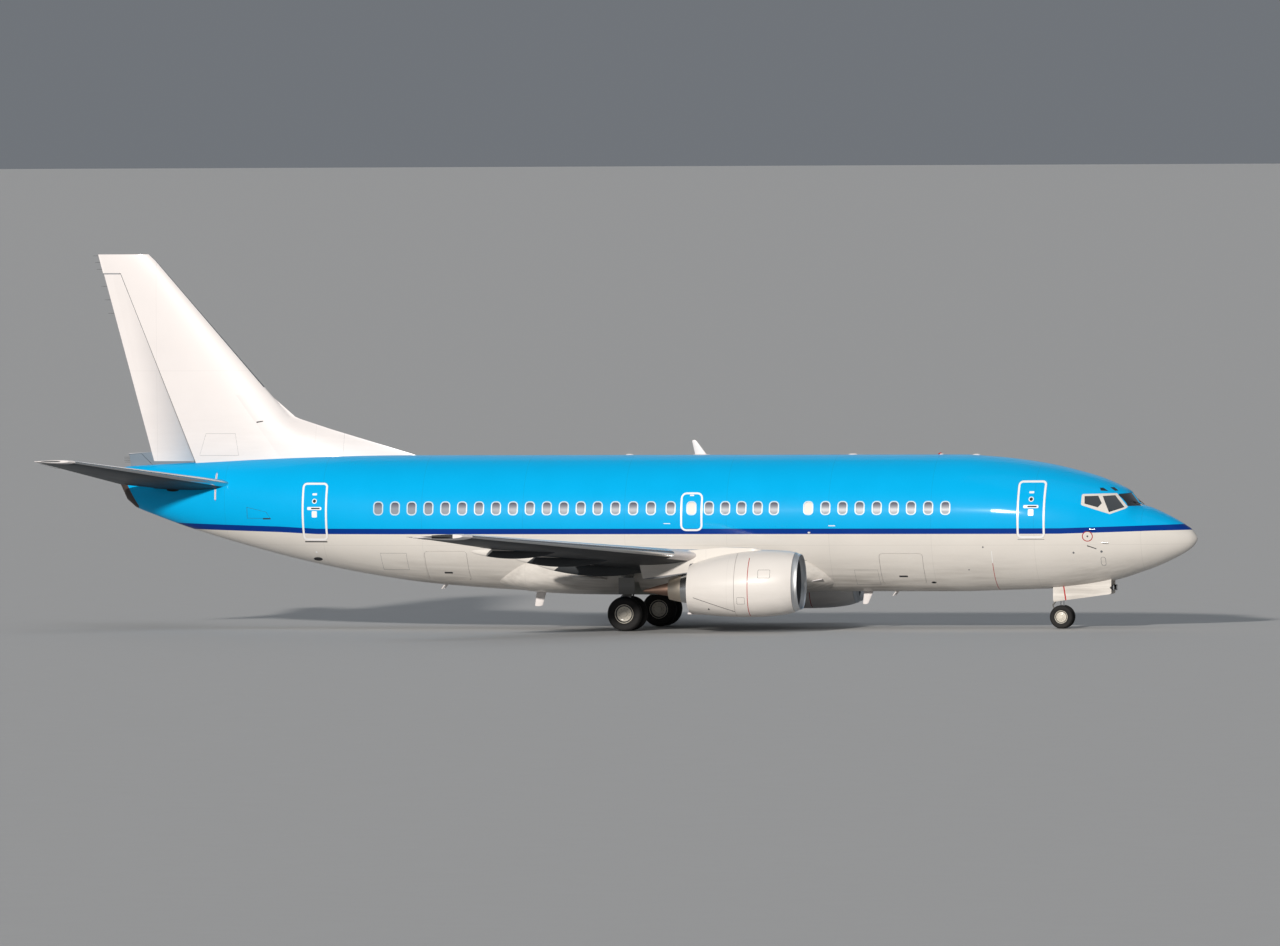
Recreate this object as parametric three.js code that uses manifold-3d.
// Narrow-body twin-jet airliner, parked on its landing gear, in millimetres.
// X points forward, Y to the left and Z up. The origin is on the ground at mid length.
// A station is a distance aft of the nose tip, so X = NOSE_X - station.

import * as THREE from 'three';
import { mergeVertices } from 'three/addons/utils/BufferGeometryUtils.js';
import Module from 'manifold-3d';

const wasm = await Module();
wasm.setup();

// Driving dimensions
const LENGTH = 33400;
const NOSE_X = LENGTH / 2;
const HEIGHT = 11130;
const HALF_SPAN = 14440;
const TOUCH = 0.3;              // gap between two pieces that rest on each other
const SEAM = 6;                 // open seam round a panel
const RUNNING = 7;              // clearance round a surface that turns
const PIN_PLAY = 0.8;           // radial play of a pin in its bore
const BODY_SIDES = 32;
const PIN_SIDES = 20;           // axles and bores

const NOSE_GEAR_STATION = 4010;
const MAIN_GEAR_STATION = 16460;
const MAIN_LEG_Y = 2615;
const ENGINE_Y = 4830;
const DOOR_THICKNESS = 70;

// Right is -1 and left is +1.
const SIDES = [['right', -1], ['left', 1]];

const atStation = (station) => NOSE_X - station;

// Materials
const paint = (color, roughness = 0.35, metalness = 0) =>
  new THREE.MeshStandardMaterial({ color, roughness, metalness });
const skyBlue = paint(0x12a5e0);
const white = paint(0xe8e6e1);
const greyPaint = paint(0x8f9499, 0.45);
const darkGrey = paint(0x3c4248, 0.5);
const bareMetal = paint(0xb9bdc1, 0.3, 0.9);
const hotSteel = paint(0x8a7f74, 0.4, 0.9);
const blackRubber = paint(0x1b1b1d, 0.9);
const wheelPaint = paint(0xdcd9d0, 0.4);
const glazing = paint(0x10161c, 0.1);

// Solids from closed geometries

function solid(geometry) {
  let bare = geometry.clone();
  bare.deleteAttribute('normal');
  bare.deleteAttribute('uv');
  bare = mergeVertices(bare, 0.01);
  const vertProperties = new Float32Array(bare.getAttribute('position').array);
  const triangles = [];
  let volume = 0;
  const corner = (i) => new THREE.Vector3().fromArray(vertProperties, 3 * i);
  const index = bare.index.array;
  for (let t = 0; t < index.length; t += 3) {
    const [a, b, c] = [index[t], index[t + 1], index[t + 2]];
    if (a === b || b === c || c === a) continue;
    triangles.push([a, b, c]);
    volume += corner(a).dot(corner(b).cross(corner(c)));
  }
  if (volume < 0) triangles.forEach((triangle) => triangle.reverse());
  return new wasm.Manifold(new wasm.Mesh({
    numProp: 3, vertProperties, triVerts: new Uint32Array(triangles.flat()),
  }));
}

// The largest body of a solid: what a cut leaves beside it is a splinter.
function mainBody(body) {
  return body.decompose().reduce((best, next) => (next.volume() > best.volume() ? next : best));
}

function piece(name, body, material) {
  const { vertProperties, triVerts } = mainBody(body).getMesh();
  const geometry = new THREE.BufferGeometry();
  geometry.setAttribute('position', new THREE.BufferAttribute(new Float32Array(vertProperties), 3));
  geometry.setIndex(new THREE.BufferAttribute(new Uint32Array(triVerts), 1));
  geometry.computeVertexNormals();
  const mesh = new THREE.Mesh(geometry, material);
  mesh.name = name;
  return mesh;
}

function ladder(count, first, reversed) {
  const faces = [];
  let low = first;
  let high = first + count - 1;
  while (high - low > 1) {
    faces.push([low, low + 1, high]);
    low += 1;
    if (high - low > 1) {
      faces.push([low, high - 1, high]);
      high -= 1;
    }
  }
  return reversed ? faces.map((face) => [...face].reverse()) : faces;
}

// Skins a row of rings of [x, y, z] points. An open row gets end caps; a closed one is a tube wall.
function loft(rings, closed = false) {
  const count = rings[0].length;
  const faces = [];
  const bands = closed ? rings.length : rings.length - 1;
  for (let r = 0; r < bands; r++) {
    const here = r * count;
    const next = ((r + 1) % rings.length) * count;
    for (let i = 0; i < count; i++) {
      const j = (i + 1) % count;
      faces.push([here + i, here + j, next + j], [here + i, next + j, next + i]);
    }
  }
  if (!closed) {
    faces.push(...ladder(count, 0, true), ...ladder(count, (rings.length - 1) * count, false));
  }
  const geometry = new THREE.BufferGeometry();
  geometry.setAttribute('position', new THREE.Float32BufferAttribute(rings.flat(2), 3));
  geometry.setIndex(faces.flat());
  return solid(geometry);
}

const box = (x0, x1, y0, y1, z0, z1) => solid(new THREE.BoxGeometry(x1 - x0, y1 - y0, z1 - z0)
  .translate((x0 + x1) / 2, (y0 + y1) / 2, (z0 + z1) / 2));

// A rod between two points, optionally thicker at one end.
function rod(from, to, radius, endRadius = radius, sides = 16) {
  const a = new THREE.Vector3(...from);
  const b = new THREE.Vector3(...to);
  const along = b.clone().sub(a);
  const geometry = new THREE.CylinderGeometry(endRadius, radius, along.length(), sides);
  geometry.translate(0, along.length() / 2, 0);
  geometry.applyQuaternion(new THREE.Quaternion().setFromUnitVectors(
    new THREE.Vector3(0, 1, 0), along.normalize()));
  geometry.translate(a.x, a.y, a.z);
  return solid(geometry);
}

// Outlines drawn on one of the main planes and pushed through the object.

function outline(points) {
  return new THREE.Shape(points.map(([u, v]) => new THREE.Vector2(u, v)));
}

// Moves every edge of a closed outline out by a distance. Its points run clockwise.
function spread(points, distance) {
  const unit = ([u0, v0], [u1, v1]) => new THREE.Vector2(u1 - u0, v1 - v0).normalize();
  return points.map((point, i) => {
    const before = unit(points.at(i - 1), point);
    const after = unit(point, points[(i + 1) % points.length]);
    const normal = new THREE.Vector2(-(before.y + after.y), before.x + after.x).normalize();
    const reach = distance / (normal.x * -after.y + normal.y * after.x);
    return [point[0] + reach * normal.x, point[1] + reach * normal.y];
  });
}

// Side view: points are [station, z], pushed from y0 to y1.
function sidePrism(points, y0, y1) {
  const shape = outline(points.map(([station, z]) => [atStation(station), z]));
  const geometry = new THREE.ExtrudeGeometry(shape, { depth: y1 - y0, bevelEnabled: false });
  return solid(geometry.rotateX(Math.PI / 2).translate(0, y1, 0));
}

// Plan view: points are [station, y], pushed from z0 to z1.
function planPrism(points, z0, z1) {
  const shape = outline(points.map(([station, y]) => [atStation(station), y]));
  const geometry = new THREE.ExtrudeGeometry(shape, { depth: z1 - z0, bevelEnabled: false });
  return solid(geometry.translate(0, 0, z0));
}

// Front view: points are [y, z], pushed from one station to another.
function frontPrism(points, station0, station1) {
  const rings = [station0, station1].map((station) => points.map(([y, z]) => [atStation(station), y, z]));
  return loft(rings);
}

// A rounded rectangle of stations and heights, pushed from y0 to y1.
function doorPrism({ front, rear, sill, head, corner }, grow, y0, y1) {
  const shape = new THREE.Shape();
  const [x0, x1] = [atStation(rear) - grow, atStation(front) + grow];
  const [z0, z1] = [sill - grow, head + grow];
  const r = corner + grow;
  shape.moveTo(x0 + r, z0);
  shape.lineTo(x1 - r, z0);
  shape.absarc(x1 - r, z0 + r, r, -Math.PI / 2, 0);
  shape.lineTo(x1, z1 - r);
  shape.absarc(x1 - r, z1 - r, r, 0, Math.PI / 2);
  shape.lineTo(x0 + r, z1);
  shape.absarc(x0 + r, z1 - r, r, Math.PI / 2, Math.PI);
  shape.lineTo(x0, z0 + r);
  shape.absarc(x0 + r, z0 + r, r, Math.PI, 1.5 * Math.PI);
  const geometry = new THREE.ExtrudeGeometry(shape, { depth: y1 - y0, bevelEnabled: false, curveSegments: 3 });
  return solid(geometry.rotateX(Math.PI / 2).translate(0, y1, 0));
}

// Fuselage: two half ellipses that meet on the widest line
// Columns: station, crown height, keel height, half width, height of the widest line.
const FUSELAGE = [
  [0, 2662, 2598, 35, 2630],
  [40, 2748, 2508, 130, 2632],
  [140, 2885, 2380, 280, 2640],
  [370, 3050, 2215, 475, 2660],
  [690, 3240, 2045, 680, 2690],
  [1080, 3430, 1865, 880, 2730],
  [1360, 3550, 1755, 1010, 2765],
  [1640, 3640, 1660, 1120, 2805],
  [1980, 4040, 1545, 1240, 2850],
  [2190, 4160, 1480, 1310, 2880],
  [2470, 4290, 1405, 1390, 2915],
  [2870, 4450, 1325, 1495, 2960],
  [3460, 4620, 1245, 1640, 3030],
  [4260, 4810, 1175, 1770, 3110],
  [5050, 4940, 1145, 1840, 3180],
  [5900, 5035, 1120, 1873, 3215],
  [7000, 5100, 1090, 1880, 3220],
  [19000, 5100, 1090, 1880, 3220],
  [20300, 5100, 1140, 1880, 3220],
  [21610, 5100, 1230, 1875, 3225],
  [22970, 5100, 1350, 1840, 3250],
  [24080, 5098, 1500, 1775, 3300],
  [25520, 5085, 1755, 1640, 3400],
  [26960, 5055, 2075, 1440, 3550],
  [28110, 5010, 2375, 1230, 3700],
  [29840, 4905, 2880, 850, 3900],
  [31250, 4830, 3380, 545, 4080],
  [31850, 4795, 3640, 400, 4190],
  [32060, 4775, 3890, 310, 4310],
  [32260, 4735, 4350, 170, 4540],
];
const TAIL_END = FUSELAGE.at(-1)[0];

function sectionAt(station) {
  const next = Math.max(1, FUSELAGE.findIndex((row) => row[0] >= station));
  const [before, after] = [FUSELAGE[next - 1], FUSELAGE[next]];
  const share = (station - before[0]) / (after[0] - before[0]);
  return before.map((value, column) => value + share * (after[column] - value));
}

function bodyRing([station, crown, keel, halfWidth, waist], grow) {
  return Array.from({ length: BODY_SIDES }, (_, i) => {
    const angle = (2 * Math.PI * i) / BODY_SIDES;
    const reach = Math.cos(angle) > 0 ? crown - waist : waist - keel;
    return [
      atStation(station),
      (halfWidth + grow) * Math.sin(angle),
      waist + (reach + grow) * Math.cos(angle),
    ];
  });
}

// A length of the fuselage between two stations, its skin moved out by grow.
function fuselageBody(from, to, grow = 0) {
  const rows = [
    sectionAt(from),
    ...FUSELAGE.filter(([station]) => station > from + 1 && station < to - 1),
    sectionAt(to),
  ];
  return loft(rows.map((row) => bodyRing(row, grow)));
}

const wholeFuselage = (grow) => fuselageBody(0, TAIL_END, grow);
const touchingFuselage = wholeFuselage(TOUCH);

const halfWidthAt = (station, z) => {
  const [, , keel, halfWidth, waist] = sectionAt(station);
  return halfWidth * Math.sqrt(1 - ((waist - z) / (waist - keel)) ** 2);
};

// Cabin and cargo doors
// Columns: name, side, front and rear station, sill and head height, corner radius.
const DOORS = [
  ['service_door_front', -1, 4220, 5040, 2680, 4360, 130],
  ['service_door_rear', -1, 25660, 26440, 2620, 4320, 130],
  ['entry_door_front', 1, 4130, 5050, 2620, 4440, 140],
  ['entry_door_rear', 1, 25620, 26440, 2600, 4360, 130],
].map(([name, side, front, rear, sill, head, corner]) => ({ name, side, front, rear, sill, head, corner }));

const CARGO_DOORS = [
  ['cargo_door_front', -1, 7880, 9160, 1330, 2230, 90],
  ['cargo_door_rear', -1, 21480, 22750, 1440, 2300, 90],
].map(([name, side, front, rear, sill, head, corner]) => ({ name, side, front, rear, sill, head, corner }));

const FAR = 2600;                // well outside the body, sideways
const outward = (door, grow) => doorPrism(door, grow, ...(door.side < 0 ? [-FAR, -200] : [200, FAR]));

function doorPanel(door) {
  return outward(door, 0).intersect(wholeFuselage(0)).subtract(wholeFuselage(-DOOR_THICKNESS));
}

function doorRecess(door) {
  return outward(door, SEAM).subtract(wholeFuselage(-DOOR_THICKNESS - TOUCH));
}

// Cargo holds: a compartment behind each cargo door, which swings in and up on a rod under its ceiling
const HOLD_MARGIN = 300;         // hold beyond the door's front and rear edges
const HOLD_WALL = 80;
const DOORWAY_SEAM = 8;
const HOLD_CEILING = 2570;
const HINGE_ROD = 14;
const HINGE_ABOVE_HEAD = 50;
const HINGE_INSIDE_SKIN = 145;
const LUG_RADIUS = 30;
const LUG_WIDTH = 70;
const LUG_ARM = 44;
const LUG_SPACE = 60;            // from the hinge to the hold's side wall
const LUG_INSET = 260;           // from the door's front and rear edges

function holdHinge(door) {
  const z = door.head + HINGE_ABOVE_HEAD;
  const y = -(halfWidthAt(door.rear + HOLD_MARGIN, door.head) - HINGE_INSIDE_SKIN);
  return { y, z };
}

// Heights and half widths of the hold's section
function holdSection(door) {
  const floor = door.sill - DOORWAY_SEAM - 4;
  return [floor, floor + 200, floor + 450, door.head, HOLD_CEILING].map((z) =>
    [z, Math.min(halfWidthAt(door.rear + HOLD_MARGIN, z) - HOLD_WALL, LUG_SPACE - holdHinge(door).y)]);
}

function hold(door) {
  const section = holdSection(door);
  const right = section.map(([z, half]) => [-half, z]);
  const left = section.map(([z, half]) => [half, z]).reverse();
  return frontPrism([...right, ...left], door.front - HOLD_MARGIN, door.rear + HOLD_MARGIN);
}

// The way through the skin, a little wider than the door, in to the edge of the hold's floor.
const doorway = (door) => doorPrism(door, DOORWAY_SEAM, -FAR, -holdSection(door)[0][1]);

function holdHingeRod(door) {
  const { y, z } = holdHinge(door);
  const reach = HOLD_MARGIN + 20;
  return rod([atStation(door.front - reach), y, z], [atStation(door.rear + reach), y, z], HINGE_ROD);
}

function cargoDoor(door) {
  const { y, z } = holdHinge(door);
  let body = doorPanel(door);
  for (const station of [door.front + LUG_INSET, door.rear - LUG_INSET - LUG_WIDTH]) {
    const x1 = atStation(station);
    const x0 = x1 - LUG_WIDTH;
    const head = rod([x0, y, z], [x1, y, z], LUG_RADIUS, LUG_RADIUS, 16);
    const upper = box(x0, x1, y - LUG_ARM / 2, y + LUG_ARM / 2, door.head - 60, z);
    const lower = box(x0, x1, y - 250, y + LUG_ARM / 2, door.head - 220, door.head - 15);
    body = body.add(head).add(upper).add(lower.intersect(wholeFuselage(-20)));
  }
  const bore = HINGE_ROD + PIN_PLAY;
  return body.subtract(rod([atStation(door.rear), y, z], [atStation(door.front), y, z], bore));
}

// Windscreen: the glazed band of the cockpit, let into the nose
const GLAZING_THICKNESS = 45;
const WINDSCREEN = [
  [1660, 3560], [1660, 4140], [3290, 4140], [3360, 4060], [3360, 3860], [2800, 3400], [2440, 3330], [1950, 3530],
];
const windscreenBlank = (grow) => sidePrism(spread(WINDSCREEN, grow), -2000, 2000);
const windscreenSeat = () => windscreenBlank(TOUCH).subtract(wholeFuselage(-GLAZING_THICKNESS - TOUCH));

// Nose gear bay and doors
const NOSE_BAY = { front: 2480, rear: 4300, halfWidth: 330, roof: 2050 };
const noseBay = () => box(atStation(NOSE_BAY.rear), atStation(NOSE_BAY.front),
  -NOSE_BAY.halfWidth, NOSE_BAY.halfWidth, 900, NOSE_BAY.roof);
const NOSE_DOOR = [[2500, 1700], [2500, 1040], [2560, 1010], [4200, 790], [4230, 830], [4230, 1500]];
const NOSE_DOOR_THICKNESS = 28;

// Aerials: swept blades that stand on the skin
// Columns: station of the foot's front, foot length, tip length, sweep, foot height, tip height.
const AERIALS = [
  ['top', 14600, 400, 150, 330, 5060, 5530],
  ['belly_front', 9620, 290, 110, 40, 1130, 740],
  ['belly_rear', 19440, 290, 110, 40, 1130, 640],
];

function aerial(name) {
  const [, front, foot, tip, sweep, z0, z1] = AERIALS.find((row) => row[0] === name);
  const ring = (start, length, halfWidth, z) => [
    [atStation(start), 0, z],
    [atStation(start + 0.35 * length), halfWidth, z],
    [atStation(start + length), 0, z],
    [atStation(start + 0.35 * length), -halfWidth, z],
  ];
  return loft([ring(front, foot, 22, z0), ring(front + sweep, tip, 10, z1)]);
}

// Wing-body fairing
// Columns: station, half width, bottom height, top height.
const FAIRING = [
  [10450, 900, 1280, 1900],
  [11300, 1620, 1075, 2300],
  [12300, 1990, 1020, 2480],
  [13500, 2120, 1000, 2560],
  [16900, 2120, 1000, 2560],
  [18300, 1990, 1015, 2480],
  [19600, 1640, 1080, 2300],
  [20700, 950, 1260, 2000],
];
const FAIRING_SIDES = 20;
const FAIRING_SQUARENESS = 2.6;

function superEllipse(halfWidth, halfHeight, power, angle) {
  const bend = (value) => Math.sign(value) * Math.abs(value) ** (2 / power);
  return [halfWidth * bend(Math.sin(angle)), halfHeight * bend(Math.cos(angle))];
}

function fairingBody(grow) {
  return loft(FAIRING.map(([station, halfWidth, bottom, top]) =>
    Array.from({ length: FAIRING_SIDES }, (_, i) => {
      const angle = (2 * Math.PI * (i + 0.5)) / FAIRING_SIDES;
      const [y, z] = superEllipse(halfWidth + grow, (top - bottom) / 2 + grow, FAIRING_SQUARENESS, angle);
      return [atStation(station), y, (top + bottom) / 2 + z];
    })));
}

// Main wheel wells: a round well for the wheels and a slot for the leg, on each side of the keel
const WELL = { radius: 590, y: 850, roof: 1800 };
const LEG_SLOT = { halfWidth: 215, roof: 1800, outer: MAIN_LEG_Y + 190 };

function wheelWell(side) {
  const x = atStation(MAIN_GEAR_STATION);
  const [y0, y1] = [side * WELL.y, side * LEG_SLOT.outer].sort((a, b) => a - b);
  return rod([x, side * WELL.y, 400], [x, side * WELL.y, WELL.roof], WELL.radius, WELL.radius, 24)
    .add(box(x - LEG_SLOT.halfWidth, x + LEG_SLOT.halfWidth, y0, y1, 400, LEG_SLOT.roof));
}

// Aerofoils
// Share of the chord of each outline point from trailing to leading edge.
const CHORD_SHARES = [1, 0.82, 0.6, 0.4, 0.23, 0.11, 0.04, 0.01];
const TRAILING_HALF = 7;

const halfThickness = (share) => 5 * (0.2969 * Math.sqrt(share) - 0.126 * share
  - 0.3516 * share ** 2 + 0.2843 * share ** 3 - 0.1036 * share ** 4);

// Outline points as [station, offset across the chord], upper side first.
function aerofoil(leading, trailing, thickness, grow = 0) {
  const chord = trailing - leading;
  const side = (sign) => CHORD_SHARES.map((share) => [
    leading + share * chord + (share === 1 ? grow : 0),
    sign * (grow + Math.max(TRAILING_HALF, thickness * chord * halfThickness(share))),
  ]);
  return [...side(1), [leading - grow, 0], ...side(-1).reverse()];
}

// Wing
// Columns: span station, leading and trailing edge stations, their heights, thickness over chord.
const WING = [
  [900, 10690, 18130, 1890, 1740, 0.12],
  [4000, 13420, 17860, 2180, 2050, 0.125],
  [5000, 13950, 17800, 2265, 2130, 0.115],
  [14050, 18720, 20361, 3020, 2985, 0.108],
  [14330, 18960, 20430, 3040, 3012, 0.08],
  [HALF_SPAN, 19300, 20440, 3045, 3022, 0.03],
];

function wingAt(y) {
  const next = Math.max(1, WING.findIndex((row) => row[0] >= y));
  const [before, after] = [WING[next - 1], WING[next]];
  const share = (y - before[0]) / (after[0] - before[0]);
  return before.map((value, column) => value + share * (after[column] - value));
}

function wingRing([y, leading, trailing, leadingZ, trailingZ, thickness], side, grow) {
  return aerofoil(leading, trailing, thickness, grow).map(([station, offset]) => {
    const share = (station - leading) / (trailing - leading);
    return [atStation(station), side * y, leadingZ + share * (trailingZ - leadingZ) + offset];
  });
}

const wingBlank = (side, grow = 0) => loft(WING.map((row) => wingRing(row, side, grow)));

// Height of the wing's chord line at a span station and a station
function chordZ(y, station) {
  const [, leading, trailing, leadingZ, trailingZ] = wingAt(y);
  return leadingZ + ((station - leading) / (trailing - leading)) * (trailingZ - leadingZ);
}

function wingHalfThickness(y, station) {
  const [, leading, trailing, , , thickness] = wingAt(y);
  const chord = trailing - leading;
  return thickness * chord * halfThickness((station - leading) / chord);
}

// Flaps and slats are the wing's own section, cut off along straight lines in plan.
// Columns: name, inner and outer span station, chord there.
const FLAPS = [
  ['flap_inboard', 2330, 4000, 1380, 1200],
  ['flap_outboard', 5000, 10120, 1120, 760],
].map(([name, inner, outer, innerChord, outerChord]) => ({ name, inner, outer, innerChord, outerChord }));
const SLAT = { inner: 5560, outer: 13900, innerChord: 430, outerChord: 250 };
const AILERON = { inner: 10300, outer: 13350, innerChord: 660, outerChord: 470 };

// Plan outline of a panel on the leading (sign -1) or trailing (sign 1) edge, drawn in by its seams.
function edgePanel({ inner, outer, innerChord, outerChord }, edge, side, fitted) {
  const sign = edge === 'trailing' ? 1 : -1;
  const ends = fitted ? [inner + SEAM, outer - SEAM] : [inner, outer];
  const beyond = 400;
  const corners = ends.map((y) => {
    const chord = innerChord + ((y - inner) / (outer - inner)) * (outerChord - innerChord);
    const station = wingAt(y)[edge === 'trailing' ? 2 : 1];
    return { y: side * y, cut: station - sign * (chord - (fitted ? TOUCH : 0)), free: station + sign * beyond };
  });
  const [a, b] = corners;
  return planPrism([[a.cut, a.y], [b.cut, b.y], [b.free, b.y], [a.free, a.y]], 1000, 4000);
}

// Surfaces that turn on a hinge line: a round nose about the line and a wedge to the trailing edge
// hinge and trailing hold the inner and the outer end, and radii the nose radius there.
function hingedBody({ hinge, trailing, radii }, grow, tail) {
  const [h0, h1] = hinge.map((point) => new THREE.Vector3(...point));
  const axis = h1.clone().sub(h0).normalize();
  const spare = 0.25;
  const rings = [-spare, 1 + spare].map((share) => {
    const centre = h0.clone().lerp(h1, share);
    const rear = new THREE.Vector3(...trailing[0]).lerp(new THREE.Vector3(...trailing[1]), share).sub(centre);
    rear.addScaledVector(axis, -rear.dot(axis));
    const chord = rear.length();
    rear.normalize();
    const across = axis.clone().cross(rear);
    const radius = radii[0] + share * (radii[1] - radii[0]) + grow;
    const place = (along, over) => centre.clone().addScaledVector(rear, along).addScaledVector(across, over).toArray();
    const nose = Array.from({ length: 11 }, (_, i) => {
      const angle = Math.PI / 2 + (Math.PI * i) / 10;
      return place(radius * Math.cos(angle), radius * Math.sin(angle));
    });
    return [place(chord + tail.reach, tail.half), ...nose, place(chord + tail.reach, -tail.half)];
  });
  return loft(rings);
}

const SURFACE_TAIL = { reach: 0, half: 5 };
const COVE_TAIL = { reach: 500, half: 600 };

const hingedSurface = (form) => hingedBody(form, 0, SURFACE_TAIL);
const hingeCove = (form) => hingedBody(form, RUNNING, COVE_TAIL);

// Hinge pins on the hinge line: each stands out of one piece, at an end of the surface, into a bore in the other.
const HINGE_PIN = { radius: 16, inBore: 110, inRoot: 75, sides: 10, endPlay: 4 };
const HINGE_PLAY = 0.2;

// A pin from the end of a hinge line towards its bore, or with play the bore itself.
function hingePin(end, towards, play = 0) {
  const deep = HINGE_PIN.inBore + (play ? HINGE_PIN.endPlay : 0);
  const radius = (HINGE_PIN.radius + play) / (play ? Math.cos(Math.PI / HINGE_PIN.sides) : 1);
  return rod(
    end.clone().addScaledVector(towards, -HINGE_PIN.inRoot).toArray(),
    end.clone().addScaledVector(towards, deep).toArray(),
    radius, radius, HINGE_PIN.sides);
}

// The two ends of a hinge line, each with its direction to the other.
function hingeEnds({ hinge }) {
  const [start, end] = hinge.map((point) => new THREE.Vector3(...point));
  const along = end.clone().sub(start).normalize();
  return [[start, along], [end, along.clone().negate()]];
}

const hingePins = (form, play) => hingeEnds(form).map(([end, inward]) => hingePin(end, inward, play))
  .reduce((a, b) => a.add(b));
const boredSurface = (form) => hingedSurface(form).subtract(hingePins(form, HINGE_PLAY));

function aileronForm(side) {
  const end = (y, chord) => {
    const trailing = wingAt(y)[2];
    const station = trailing - chord;
    return {
      hinge: [atStation(station), side * y, chordZ(y, station)],
      trailing: [atStation(trailing), side * y, chordZ(y, trailing)],
      radius: wingHalfThickness(y, station) - 1,
    };
  };
  const ends = [end(AILERON.inner, AILERON.innerChord), end(AILERON.outer, AILERON.outerChord)];
  return {
    hinge: ends.map((e) => e.hinge), trailing: ends.map((e) => e.trailing), radii: ends.map((e) => e.radius),
  };
}

const spanSlab = (side, inner, outer) => {
  const [y0, y1] = [side * inner, side * outer].sort((a, b) => a - b);
  return box(-NOSE_X - 200, NOSE_X, y0, y1, 0, HEIGHT + 500);
};

// Flap track fairings under the trailing edge
// Columns: span station, front and rear station, height of the tail, half width, half depth.
const CANOES = [
  [3620, 15500, 18950, 1990, 150, 230],
  [6700, 16200, 18860, 2210, 130, 190],
  [9500, 17200, 19330, 2430, 110, 150],
];

function canoe([y, front, rear, tailZ, halfWidth, halfDepth], side) {
  const shares = [0, 0.12, 0.4, 0.75, 1];
  const frontZ = chordZ(y, front) - wingHalfThickness(y, front) * 0.8;
  return loft(shares.map((share) => {
    const fullness = Math.max(0.06, Math.sqrt(Math.sin(Math.PI * share ** 0.8)));
    const middle = frontZ + share * (tailZ - frontZ) - 0.35 * halfDepth * Math.sin(Math.PI * share);
    return Array.from({ length: 8 }, (_, i) => {
      const angle = (2 * Math.PI * (i + 0.5)) / 8;
      return [
        atStation(front + share * (rear - front)),
        side * y + halfWidth * fullness * Math.sin(angle),
        middle + halfDepth * fullness * Math.cos(angle),
      ];
    });
  }));
}

// Wing jacking pads: a flat disc under each wing root
const JACK_PAD = { station: 14300, y: 3300, radius: 70, drop: 30 };
const jackPadZ = () => chordZ(JACK_PAD.y, JACK_PAD.station)
  - wingHalfThickness(JACK_PAD.y, JACK_PAD.station) - JACK_PAD.drop;

// Tail
// Columns: height, leading and trailing edge stations, half of the thickness.
const FIN = [
  [4600, 25660, 31180, 0.11],
  [10850, 31123, 32822, 0.1],
  [11040, 31330, 32872, 0.085],
  [HEIGHT, 31640, 32893, 0.04],
];
const RUDDER = { bottom: 4935, top: 10450, bottomHinge: 29990, topHinge: 32210 };

function finAt(z) {
  const next = Math.max(1, FIN.findIndex((row) => row[0] >= z));
  const [before, after] = [FIN[next - 1], FIN[next]];
  const share = (z - before[0]) / (after[0] - before[0]);
  return before.map((value, column) => value + share * (after[column] - value));
}

const finBlank = () => loft(FIN.map(([z, leading, trailing, thickness]) =>
  aerofoil(leading, trailing, thickness).map(([station, offset]) => [atStation(station), offset, z])));

// Dorsal fin: columns station, height of its ridge, half width of its foot.
const DORSAL = [
  [23250, 5085, 20],
  [24300, 5400, 60],
  [25840, 5860, 110],
  [26910, 6210, 150],
  [27700, 6900, 190],
];

const dorsalFin = () => loft(DORSAL.map(([station, ridge, foot]) => [
  [atStation(station), foot, 4700],
  [atStation(station), foot * 0.75, 5000],
  [atStation(station), 18, ridge],
  [atStation(station), -18, ridge],
  [atStation(station), -foot * 0.75, 5000],
  [atStation(station), -foot, 4700],
]));

function rudderForm() {
  const end = (z, station) => {
    const [, leading, trailing, thickness] = finAt(z);
    const chord = trailing - leading;
    return {
      hinge: [atStation(station), 0, z],
      trailing: [atStation(trailing), 0, z],
      radius: thickness * chord * halfThickness((station - leading) / chord) - 2,
    };
  };
  const ends = [end(RUDDER.bottom, RUDDER.bottomHinge), end(RUDDER.top, RUDDER.topHinge)];
  return {
    hinge: ends.map((e) => e.hinge), trailing: ends.map((e) => e.trailing), radii: ends.map((e) => e.radius),
  };
}

// The rudder's upper pin stands out of the fin. Its lower pin is its own and stands in the tail section.
function rudderPins(form, play) {
  const [[foot, up], [head, down]] = hingeEnds(form);
  return { lower: hingePin(foot, up.clone().negate(), play), upper: hingePin(head, down, play) };
}

// Stabilisers
const STABILISER = {
  rootLeading: 28100, rootTrailing: 31860, leadingSlope: 0.662, trailingSlope: 0.2425,
  rootZ: 4150, slope: 0.142, thickness: 0.1, span: 6350,
};
const ELEVATOR = { inner: 820, outer: 6060, share: 0.7 };

function stabiliserAt(y) {
  const { rootLeading, rootTrailing, leadingSlope, trailingSlope, rootZ, slope } = STABILISER;
  return { leading: rootLeading + leadingSlope * y, trailing: rootTrailing + trailingSlope * y, z: rootZ + slope * y };
}

function stabiliserBlank(side) {
  const { span, thickness } = STABILISER;
  const rows = [[250, 0, thickness], [span - 170, 0, thickness], [span - 40, 90, 0.07], [span, 260, 0.03]];
  return loft(rows.map(([y, cut, ratio]) => {
    const { leading, trailing, z } = stabiliserAt(y);
    return aerofoil(leading + cut, trailing, ratio).map(([station, offset]) => [atStation(station), side * y, z + offset]);
  }));
}

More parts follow.
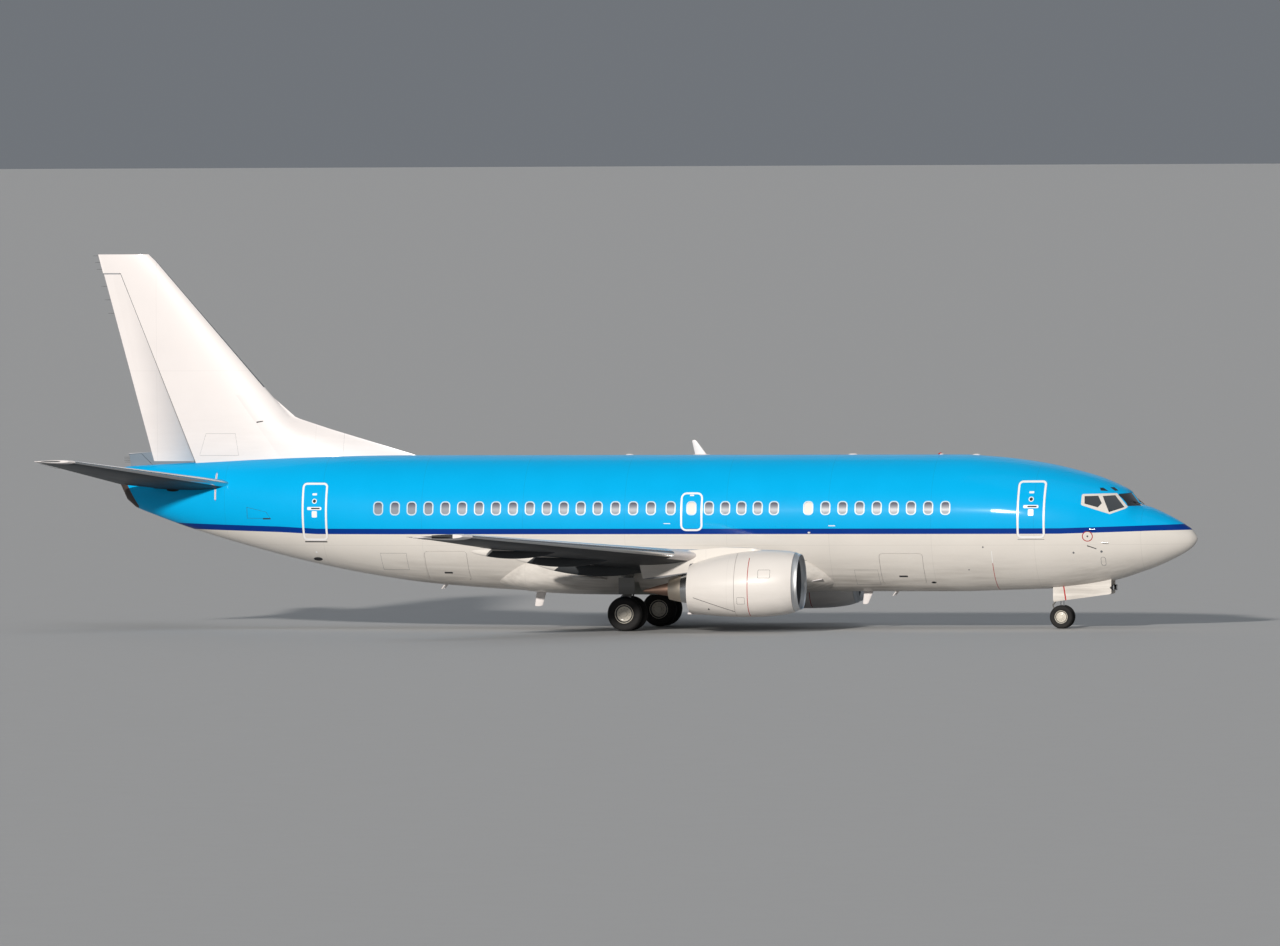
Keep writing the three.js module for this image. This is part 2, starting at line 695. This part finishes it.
function elevatorForm(side) {
  const end = (y) => {
    const { leading, trailing, z } = stabiliserAt(y);
    const chord = trailing - leading;
    return {
      hinge: [atStation(leading + ELEVATOR.share * chord), side * y, z],
      trailing: [atStation(trailing), side * y, z],
      radius: STABILISER.thickness * chord * halfThickness(ELEVATOR.share) - 1,
    };
  };
  const ends = [end(ELEVATOR.inner), end(ELEVATOR.outer)];
  return {
    hinge: ends.map((e) => e.hinge), trailing: ends.map((e) => e.trailing), radii: ends.map((e) => e.radius),
  };
}

// Inboard of the elevator the stabiliser ends a little behind the hinge line.
const ELEVATOR_ROOT = { edge: ELEVATOR.inner - 26, behindHinge: 50 };

function elevatorRootCut(side) {
  const cut = (y) => {
    const { leading, trailing } = stabiliserAt(y);
    return leading + ELEVATOR.share * (trailing - leading) + ELEVATOR_ROOT.behindHinge;
  };
  const far = LENGTH + 400;
  return planPrism([
    [cut(0), 0], [cut(ELEVATOR_ROOT.edge), side * ELEVATOR_ROOT.edge], [far, side * ELEVATOR_ROOT.edge], [far, 0],
  ], 3500, 5500);
}

// Engines
// The engine's axis falls a little towards the rear.
const ENGINE_SIDES = 24;
const AXIS_FALL = 0.055;
const engineAxisZ = (station) => 1485 - AXIS_FALL * (station - 10860);

// Columns: station, top, bottom, half width, squareness of the lower half. Outer skin of the nacelle.
const NACELLE = [
  [10940, 2300, 680, 815, 2.2],
  [11020, 2345, 625, 870, 2.3],
  [11400, 2395, 530, 975, 2.5],
  [11900, 2420, 480, 1035, 2.7],
  [12500, 2385, 465, 1055, 2.8],
  [13200, 2280, 490, 1020, 2.6],
  [13700, 2150, 530, 945, 2.4],
  [14130, 2015, 585, 850, 2.2],
];
const LIP_REAR = 11020;
const COWL_REAR = 12680;
const NOZZLE_REAR = 14130;
const NACELLE_WAIST = -40;       // the widest line, from the engine's axis

// Columns: station, radius of the duct's wall.
const DUCT = [
  [10940, 790],
  [11020, 775],
  [11400, 778],
  [11700, 778],
  [12680, 790],
  [13400, 775],
  [14130, 735],
];
const LIP_FRONT = 10862;
const FAN_STATION = 11540;
const FAN_RADIUS = 758;
const FAN_DEPTH = 130;
const FAN_HUB = 230;
const FAN_BLADES = 18;
const SHAFT_RADIUS = 70;

const blend = (table, station) => {
  const next = Math.max(1, table.findIndex((row) => row[0] >= station));
  const [before, after] = [table[next - 1], table[next]];
  const share = (station - before[0]) / (after[0] - before[0]);
  return before.map((value, column) => value + share * (after[column] - value));
};

function nacelleRing([station, top, bottom, halfWidth, power], side) {
  const waist = engineAxisZ(station) + NACELLE_WAIST;
  return Array.from({ length: ENGINE_SIDES }, (_, i) => {
    const angle = (2 * Math.PI * i) / ENGINE_SIDES;
    const upper = Math.cos(angle) > 0;
    const [y, z] = superEllipse(halfWidth, upper ? top - waist : waist - bottom, upper ? 2 : power, angle);
    return [atStation(station), side * ENGINE_Y + y, waist + z];
  });
}

function ductRing([station, radius], side) {
  return Array.from({ length: ENGINE_SIDES }, (_, i) => {
    const angle = (2 * Math.PI * i) / ENGINE_SIDES;
    return [atStation(station), side * ENGINE_Y + radius * Math.sin(angle), engineAxisZ(station) + radius * Math.cos(angle)];
  });
}

// A length of the nacelle: outer skin rearwards, then the duct's wall forwards.
function nacelleShell(from, to, side) {
  const pick = (table) => [
    blend(table, from), ...table.filter(([station]) => station > from + 1 && station < to - 1), blend(table, to),
  ];
  return loft([
    ...pick(NACELLE).map((row) => nacelleRing(row, side)),
    ...pick(DUCT).reverse().map((row) => ductRing(row, side)),
  ], true);
}

// The lip's section is half round between the outer skin and the duct.
function inletLip(side) {
  const outer = nacelleRing(blend(NACELLE, 10940), side);
  const inner = ductRing(blend(DUCT, 10940), side);
  const depth = 10940 - LIP_FRONT;
  const round = [45, 90, 135].map((degrees) => {
    const angle = THREE.MathUtils.degToRad(degrees);
    const share = (1 - Math.cos(angle)) / 2;
    return outer.map((point, i) => [
      point[0] + depth * Math.sin(angle),
      point[1] + share * (inner[i][1] - point[1]),
      point[2] + share * (inner[i][2] - point[2]),
    ]);
  });
  return loft([
    nacelleRing(blend(NACELLE, LIP_REAR - TOUCH), side),
    outer, ...round, inner,
    ductRing(blend(DUCT, LIP_REAR - TOUCH), side),
  ], true);
}

// A body of revolution about the engine's axis, or about a level line. Columns: station, radius.
function revolved(profile, side, sides, axisZ = engineAxisZ) {
  return loft(profile.map(([station, radius]) => Array.from({ length: sides }, (_, i) => {
    const angle = (2 * Math.PI * i) / sides;
    return [
      atStation(station),
      side * ENGINE_Y + radius * Math.sin(angle),
      axisZ(station) + radius * Math.cos(angle),
    ];
  })));
}

// Fan: a spinner, a hub and flat blades set at a pitch
const FAN_BLADE = { chord: 118, thickness: 16, pitch: 32, root: FAN_HUB - 50 };
const HUB_SIDES = 18;

function fan(side) {
  const front = FAN_STATION - FAN_DEPTH / 2;
  const rear = FAN_STATION + FAN_DEPTH / 2;
  const z = engineAxisZ(FAN_STATION);
  let body = revolved([
    [front - 330, 12], [front - 240, 95], [front, FAN_HUB - 15], [rear, FAN_HUB],
  ], side, HUB_SIDES, () => z);
  for (let blade = 0; blade < FAN_BLADES; blade++) {
    const around = (2 * Math.PI * (blade + 0.3)) / FAN_BLADES;
    const plate = new THREE.BoxGeometry(FAN_BLADE.chord, FAN_BLADE.thickness, FAN_RADIUS - FAN_BLADE.root)
      .translate(0, 0, (FAN_RADIUS + FAN_BLADE.root) / 2)
      .rotateZ(THREE.MathUtils.degToRad(FAN_BLADE.pitch))
      .rotateX(-around)
      .translate(atStation(FAN_STATION), side * ENGINE_Y, z);
    body = body.add(solid(plate));
  }
  const bore = SHAFT_RADIUS + PIN_PLAY;
  return body.subtract(rod(
    [atStation(rear + 50), side * ENGINE_Y, z], [atStation(front), side * ENGINE_Y, z], bore, bore, PIN_SIDES));
}

// Engine core: shaft, casing, hot nozzle with its plug, and the vanes that carry the fan case
const CORE_NOZZLE_REAR = 14775;
const PLUG_TIP = 15560;
const VANES = 4;
const CORE_SIDES = 20;
const VANE = { station: 12100, chord: 160, thickness: 26, root: 250 };

function engineCore(side) {
  const z = engineAxisZ(FAN_STATION);
  const shaftFront = FAN_STATION - FAN_DEPTH / 2 + 20;
  const shaft = rod([atStation(12000), side * ENGINE_Y, z], [atStation(shaftFront), side * ENGINE_Y, z],
    SHAFT_RADIUS, SHAFT_RADIUS, PIN_SIDES);
  const casing = revolved([
    [FAN_STATION + FAN_DEPTH / 2 + 20, FAN_HUB - 10], [12300, 400], [13300, 500], [14050, 480], [CORE_NOZZLE_REAR, 295],
  ], side, CORE_SIDES);
  const throat = revolved([[14350, 235], [CORE_NOZZLE_REAR + 60, 284]], side, CORE_SIDES);
  const plug = revolved([[14300, 215], [CORE_NOZZLE_REAR, 200], [PLUG_TIP, 22]], side, CORE_SIDES);
  let body = casing.subtract(throat).add(plug).add(shaft);
  for (let vane = 0; vane < VANES; vane++) {
    const around = (2 * Math.PI * (vane + 0.5)) / VANES;
    const fall = 0.5 * VANE.chord * (AXIS_FALL + 0.012);
    const reach = blend(DUCT, VANE.station)[1] * Math.cos(Math.PI / ENGINE_SIDES) - fall - TOUCH;
    const spoke = new THREE.BoxGeometry(VANE.chord, VANE.thickness, reach - VANE.root)
      .translate(atStation(VANE.station), 0, (reach + VANE.root) / 2)
      .rotateX(-around).translate(0, side * ENGINE_Y, engineAxisZ(VANE.station));
    body = body.add(solid(spoke));
  }
  return body;
}

// Pylon: side outline in [station, z], a slim wall from the engine's casing up to the wing
const PYLON = [
  [11650, 2330], [12300, 2475], [13100, 2500], [13900, 2430], [14800, 2350], [15700, 2150], [15560, 1560],
  [15000, 1600], [14300, 1730], [13900, 1640], [12900, 1640], [12700, 1640], [12650, 2200],
];
const PYLON_HALF = 165;

function pylonBlank(side, grow) {
  const wall = sidePrism(spread(PYLON, grow), side * ENGINE_Y - PYLON_HALF - grow, side * ENGINE_Y + PYLON_HALF + grow);
  const cut = (sign) => planPrism([
    [11200, sign * (60 + grow)], [12400, sign * (PYLON_HALF + grow)], [14300, sign * (PYLON_HALF + grow)],
    [15750, sign * (25 + grow)], [16200, sign * (25 + grow)], [16200, sign * 600], [11200, sign * 600],
  ], 1000, 3000).translate([0, side * ENGINE_Y, 0]);
  return wall.subtract(cut(1)).subtract(cut(-1));
}

// Landing gear
const NOSE_WHEEL = { radius: 343, halfWidth: 98, rim: 190, y: 185 };
const MAIN_WHEEL = { radius: 508, halfWidth: 184, rim: 275, y: 430 };
const NOSE_AXLE = 48;
const MAIN_AXLE = 75;
const HUB_CAP = 24;
const WHEEL_SIDES = 24;

// Half of a tyre's section, from the rim to the tread. Columns: radius, offset along Y.
const tyreHalf = ({ radius, halfWidth, rim }) => [
  [rim, 0.78], [0.76 * radius, 1], [0.9 * radius, 0.93], [0.98 * radius, 0.62], [radius, 0.22],
].map(([r, share]) => [r, share * halfWidth]);

// A body of revolution about a wheel's axle, from a profile of [radius, offset along Y].
function aboutAxle(profile, { x, y, z }, segments) {
  const points = profile.map(([radius, offset]) => new THREE.Vector2(radius, offset));
  return solid(new THREE.LatheGeometry(points, segments).translate(x, y, z));
}

function tyre(wheel, place, segments) {
  const upper = tyreHalf(wheel);
  const lower = upper.map(([r, offset]) => [r, -offset]).reverse();
  return aboutAxle([...upper, ...lower, upper[0]], place, segments);
}

// Outer and inner faces of a hub, from the cap to the rim and from the rim to the blind bore.
function hubFaces({ halfWidth, rim }, axle) {
  const face = 0.62 * halfWidth;
  const bore = axle + PIN_PLAY;
  const outer = [
    [0, face + HUB_CAP], [0.32 * rim, face + HUB_CAP], [0.4 * rim, face - 4], [rim - 16, 0.74 * halfWidth],
  ];
  const inner = [
    [rim - 26, -0.74 * halfWidth], [bore + 34, -0.3 * halfWidth], [bore, -0.3 * halfWidth],
    [bore, face - 20], [0, face - 20],
  ];
  return { outer, inner };
}

// out is +1 or -1 along Y, the side that the hub's cap faces.
const turned = (profile, out) => profile.map(([r, offset]) => [r, out * offset]);

function hub(wheel, axle, place, out, segments) {
  const { outer, inner } = hubFaces(wheel, axle);
  const seat = [0.74, -0.74].map((share) => [wheel.rim - TOUCH, share * wheel.halfWidth]);
  return aboutAxle(turned([...outer, ...seat, ...inner], out), place, segments);
}

function wholeWheel(wheel, axle, place, out, segments) {
  const { outer, inner } = hubFaces(wheel, axle);
  const upper = tyreHalf(wheel);
  const lower = upper.map(([r, offset]) => [r, -offset]).reverse();
  return aboutAxle(turned([...outer, ...upper, ...lower, ...inner], out), place, segments);
}

const axleReach = ({ halfWidth }) => 0.62 * halfWidth - 21;

// Lower, steered half of the nose leg
const NOSE_LEG = { radius: 95, piston: 62, collar: 118, steerZ: 1010, top: 1380 };

function noseFork() {
  const x = atStation(NOSE_GEAR_STATION);
  const { radius } = NOSE_WHEEL;
  const reach = NOSE_WHEEL.y + axleReach(NOSE_WHEEL);
  const axle = rod([x, -reach, radius], [x, reach, radius], NOSE_AXLE, NOSE_AXLE, PIN_SIDES);
  const piston = rod([x, 0, radius], [x, 0, NOSE_LEG.steerZ - TOUCH], NOSE_LEG.piston, NOSE_LEG.piston, 12);
  const foot = rod([x, 0, radius - 60], [x, 0, radius + 90], 72, 66, 12);
  const towLug = box(x + 50, x + 118, -45, 45, radius - 42, radius + 42);
  const linkFoot = box(x - 190, x - 40, -28, 28, radius + 60, radius + 110);
  const link = rod([x - 178, 0, radius + 90], [x - 290, 0, radius + 330], 24, 20, 6);
  const upperLink = rod([x - 290, 0, radius + 330], [x - 110, 0, NOSE_LEG.steerZ - 70], 24, 26, 6);
  const swivel = rod([x, 0, NOSE_LEG.steerZ - 110], [x, 0, NOSE_LEG.steerZ - TOUCH], NOSE_LEG.collar, NOSE_LEG.collar, 12);
  const lamp = rod([x + 90, 0, NOSE_LEG.steerZ - 60], [x + 190, 0, NOSE_LEG.steerZ - 60], 40, 75, 12);
  return [axle, piston, foot, towLug, linkFoot, link, upperLink, swivel, lamp].reduce((a, b) => a.add(b));
}

function noseLeg() {
  const x = atStation(NOSE_GEAR_STATION);
  const tube = rod([x, 0, NOSE_LEG.steerZ], [x, 0, NOSE_BAY.roof - TOUCH], NOSE_LEG.radius, NOSE_LEG.radius, 12);
  const collar = rod([x, 0, NOSE_LEG.steerZ], [x, 0, NOSE_LEG.steerZ + 120], NOSE_LEG.collar, NOSE_LEG.collar, 12);
  const trunnion = rod([x, -NOSE_BAY.halfWidth + TOUCH, 1900], [x, NOSE_BAY.halfWidth - TOUCH, 1900], 55);
  const brace = rod([x + 40, 0, 1350], [atStation(NOSE_BAY.front) - 330, 0, NOSE_BAY.roof - 60], 42, 42, 12);
  const braceEnd = rod([atStation(NOSE_BAY.front) - 330, -NOSE_BAY.halfWidth + TOUCH, NOSE_BAY.roof - 60],
    [atStation(NOSE_BAY.front) - 330, NOSE_BAY.halfWidth - TOUCH, NOSE_BAY.roof - 60], 40, 40, 12);
  return [tube, collar, trunnion, brace, braceEnd].reduce((a, b) => a.add(b));
}

// Main leg: cylinder, piston, axle, scissors link, side strut and the fairing plate outboard of it
const SIDE_STRUT = { footZ: 1150, headY: 1330, headZ: 1830, radius: 60 };

function mainLeg(side) {
  const x = atStation(MAIN_GEAR_STATION);
  const y = side * MAIN_LEG_Y;
  const { radius } = MAIN_WHEEL;
  const reach = MAIN_WHEEL.y + axleReach(MAIN_WHEEL);
  const outer = side * (MAIN_LEG_Y + 150);
  const parts = [
    rod([x, y, 1000], [x, y, LEG_SLOT.roof - TOUCH], 125, 135, 12),
    rod([x, y, radius], [x, y, 1010], 88, 88, 12),
    rod([x, y, radius - 95], [x, y, radius + 130], 105, 100, 12),
    rod([x, y - reach, radius], [x, y + reach, radius], MAIN_AXLE, MAIN_AXLE, PIN_SIDES),
    rod([x - 60, y, radius + 60], [x - 330, y, radius + 330], 38, 32, 6),
    rod([x - 330, y, radius + 330], [x - 90, y, 1080], 32, 38, 6),
    rod([x, y - side * 60, SIDE_STRUT.footZ], [x, side * SIDE_STRUT.headY, SIDE_STRUT.headZ], SIDE_STRUT.radius,
      SIDE_STRUT.radius, 12).subtract(box(x - 200, x + 200, -NOSE_X, NOSE_X, LEG_SLOT.roof - TOUCH, HEIGHT)),
    rod([x, y, 1640], [x + 190, y, 1640], 70, 70, 12),
    rod([x, y, 1640], [x - 190, y, 1640], 70, 70, 12),
    box(x - 240, x + 240, Math.min(y + side * 150, outer + side * 22), Math.max(y + side * 150, outer + side * 22),
      1080, 1560),
    rod([x, y, 1250], [x, outer + side * 5, 1250], 40, 40, 12),
    rod([x, y, 1480], [x, outer + side * 5, 1480], 40, 40, 12),
  ];
  return parts.reduce((a, b) => a.add(b));
}

// Assembly
const airliner = new THREE.Group();
airliner.name = 'airliner';
const put = (name, body, material) => airliner.add(piece(name, body, material));

// Columns: name, front and rear station, material.
const BARRELS = [
  ['radome', 0, 1360, white],
  ['nose_section', 1360, 5800, skyBlue],
  ['forward_fuselage', 5800, 11730, skyBlue],
  ['centre_fuselage', 11730, 17240, skyBlue],
  ['aft_fuselage', 17240, 27150, skyBlue],
  ['tail_section', 27150, TAIL_END, skyBlue],
];
const wells = SIDES.map(([, side]) => wheelWell(side)).reduce((a, b) => a.add(b));
const rudder = rudderForm();

for (const [name, front, rear, material] of BARRELS) {
  const start = front === 0 ? 0 : front + TOUCH / 2;
  const end = rear === TAIL_END ? rear : rear - TOUCH / 2;
  let body = fuselageBody(start, end);
  const inside = ({ front: doorFront }) => doorFront > front && doorFront < rear;
  for (const door of DOORS.filter(inside)) body = body.subtract(doorRecess(door));
  for (const door of CARGO_DOORS.filter(inside)) {
    body = body.subtract(doorway(door)).subtract(hold(door)).add(holdHingeRod(door));
  }
  if (name === 'nose_section') body = body.subtract(windscreenSeat()).subtract(noseBay());
  if (name === 'centre_fuselage') body = body.subtract(wells).add(aerial('top'));
  if (name === 'tail_section') body = body.subtract(rudderPins(rudder, HINGE_PLAY).lower);
  if (name === 'forward_fuselage') body = body.add(aerial('belly_front'));
  put(name, body, material);
}

put('windscreen', windscreenBlank(0).intersect(fuselageBody(1360 + TOUCH, 5800)).subtract(wholeFuselage(-GLAZING_THICKNESS)),
  glazing);
for (const door of DOORS) put(door.name, doorPanel(door), skyBlue);
for (const door of CARGO_DOORS) put(door.name, cargoDoor(door), white);

const fairing = fairingBody(0).add(aerial('belly_rear')).subtract(touchingFuselage).subtract(wells);
const fairingSeat = fairingBody(TOUCH);
put('wing_body_fairing', fairing, white);

for (const [label, side] of SIDES) {
  const aileron = aileronForm(side);
  const blank = wingBlank(side);
  const touchingWing = wingBlank(side, TOUCH);
  let wing = blank;
  for (const row of CANOES) wing = wing.add(canoe(row, side));
  for (const flap of FLAPS) wing = wing.subtract(edgePanel(flap, 'trailing', side, false).intersect(touchingWing));
  wing = wing.subtract(touchingFuselage).subtract(fairingSeat).subtract(wheelWell(side))
    .subtract(hingeCove(aileron).intersect(spanSlab(side, AILERON.inner - 30, AILERON.outer + 40)))
    .subtract(edgePanel(SLAT, 'leading', side, false)).add(hingePins(aileron));
  const padX = atStation(JACK_PAD.station);
  wing = wing.add(rod([padX, side * JACK_PAD.y, jackPadZ()], [padX, side * JACK_PAD.y, jackPadZ() + 120],
    JACK_PAD.radius, JACK_PAD.radius, 12));
  const pylon = pylonBlank(side, 0);
  const pylonSeat = pylonBlank(side, TOUCH);
  put(`wing_${label}`, wing, greyPaint);
  put(`slat_${label}`, blank.intersect(edgePanel(SLAT, 'leading', side, true)), bareMetal);
  for (const flap of FLAPS) {
    put(`${flap.name}_${label}`, blank.intersect(edgePanel(flap, 'trailing', side, true)).subtract(fairingSeat), greyPaint);
  }
  put(`aileron_${label}`, boredSurface(aileron).intersect(spanSlab(side, AILERON.inner, AILERON.outer)), greyPaint);

  put(`pylon_${label}`, pylon.subtract(touchingWing), white);
  put(`inlet_lip_${label}`, inletLip(side), bareMetal);
  put(`fan_cowl_${label}`, nacelleShell(LIP_REAR, COWL_REAR - TOUCH, side).subtract(pylonSeat), white);
  put(`reverser_cowl_${label}`, nacelleShell(COWL_REAR, NOZZLE_REAR, side).subtract(pylonSeat), white);
  put(`engine_core_${label}`, engineCore(side).subtract(pylonSeat), hotSteel);
  put(`fan_${label}`, fan(side), darkGrey);
}

const heightSlab = (z0, z1) => box(-NOSE_X - 200, NOSE_X, -1000, 1000, z0, z1);
put('fin', finBlank().add(dorsalFin())
  .subtract(hingeCove(rudder).intersect(heightSlab(0, RUDDER.top + 35)))
  .add(rudderPins(rudder).upper).subtract(touchingFuselage), white);
put('rudder', hingedSurface(rudder).intersect(heightSlab(RUDDER.bottom, RUDDER.top))
  .subtract(rudderPins(rudder, HINGE_PLAY).upper).add(rudderPins(rudder).lower), white);

for (const [label, side] of SIDES) {
  const elevator = elevatorForm(side);
  put(`stabiliser_${label}`, stabiliserBlank(side).subtract(touchingFuselage).subtract(elevatorRootCut(side))
    .subtract(hingeCove(elevator).intersect(spanSlab(side, ELEVATOR_ROOT.edge, ELEVATOR.outer + 32)))
    .add(hingePins(elevator)), greyPaint);
  put(`elevator_${label}`, boredSurface(elevator).intersect(spanSlab(side, ELEVATOR.inner, ELEVATOR.outer)),
    greyPaint);
  const doorY = side * (NOSE_BAY.halfWidth + NOSE_DOOR_THICKNESS / 2);
  put(`nose_gear_door_${label}`, sidePrism(NOSE_DOOR, doorY - NOSE_DOOR_THICKNESS / 2, doorY + NOSE_DOOR_THICKNESS / 2)
    .subtract(touchingFuselage), white);
}

put('nose_gear_leg', noseLeg(), white);
put('nose_gear_axle', noseFork(), bareMetal);
const noseAxle = { x: atStation(NOSE_GEAR_STATION), z: NOSE_WHEEL.radius };
for (const [label, side] of SIDES) {
  const place = { ...noseAxle, y: side * NOSE_WHEEL.y };
  put(`nose_wheel_${label}`, wholeWheel(NOSE_WHEEL, NOSE_AXLE, place, side, WHEEL_SIDES), blackRubber);
}

for (const [label, side] of SIDES) {
  const around = fairingSeat.add(wingBlank(side, TOUCH)).subtract(wells);
  put(`main_gear_leg_${label}`, mainLeg(side).subtract(around), white);
  for (const [where, out] of [['inner', -side], ['outer', side]]) {
    const place = {
      x: atStation(MAIN_GEAR_STATION), y: side * MAIN_LEG_Y + out * MAIN_WHEEL.y, z: MAIN_WHEEL.radius,
    };
    put(`main_tyre_${label}_${where}`, tyre(MAIN_WHEEL, place, WHEEL_SIDES), blackRubber);
    put(`main_hub_${label}_${where}`, hub(MAIN_WHEEL, MAIN_AXLE, place, out, WHEEL_SIDES), wheelPaint);
  }
}

export default airliner;
